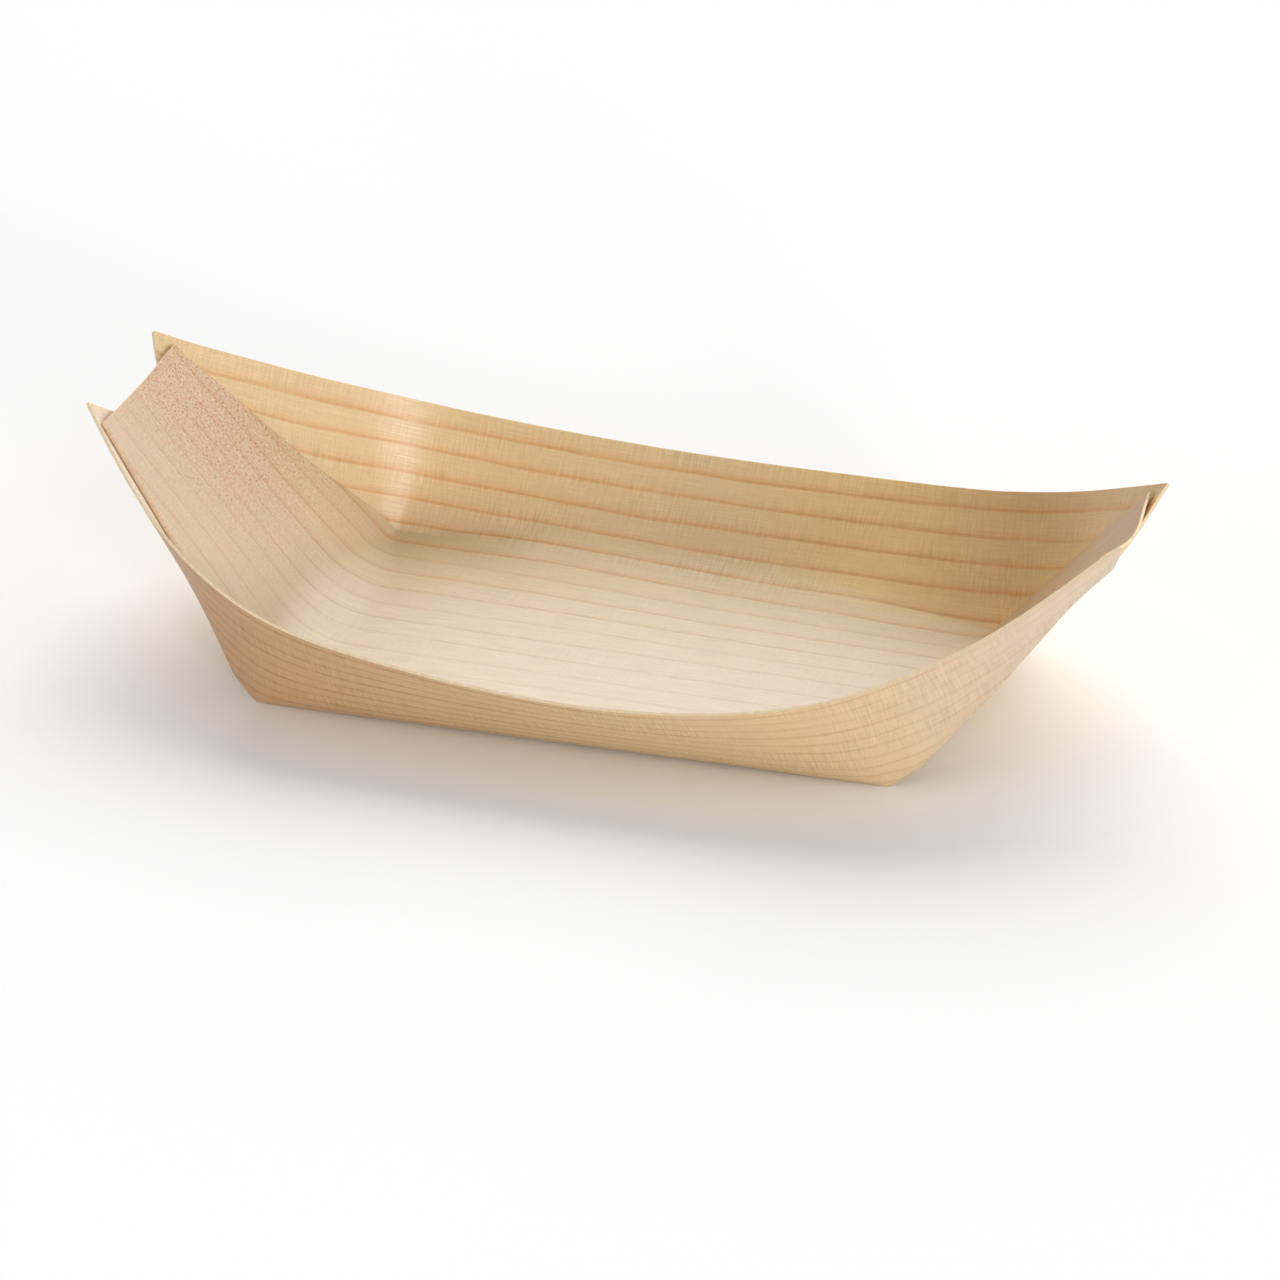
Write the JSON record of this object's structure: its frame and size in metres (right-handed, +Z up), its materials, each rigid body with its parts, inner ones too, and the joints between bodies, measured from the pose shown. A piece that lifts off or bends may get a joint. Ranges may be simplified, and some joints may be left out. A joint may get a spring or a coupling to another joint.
{
  "type": "wooden snack boat",
  "caption": "Boat-shaped serving tray folded from thin wood veneer, with a flat base, sloping ends, leaning curled walls and pointed corners, for holding snacks.",
  "frame": {"origin": "centre of the flat underside of the base, on the surface the boat stands on", "axes": "+X along the boat towards its right end, +Y across it towards the back wall, +Z up"},
  "size_m": [0.2222, 0.1242, 0.0505],
  "materials": {
    "veneer": "bare sliced softwood, satin, with orange growth lines along the boat",
    "adhesive": "dried food-safe adhesive, translucent cream"
  },
  "bodies": {
    "root": {"veneer_sheet": "veneer", "panel_glue_left_front": "adhesive", "pleat_glue_left_front": "adhesive", "panel_glue_left_back": "adhesive", "pleat_glue_left_back": "adhesive", "panel_glue_right_front": "adhesive", "pleat_glue_right_front": "adhesive", "panel_glue_right_back": "adhesive", "pleat_glue_right_back": "adhesive"}
  },
  "joints": []
}
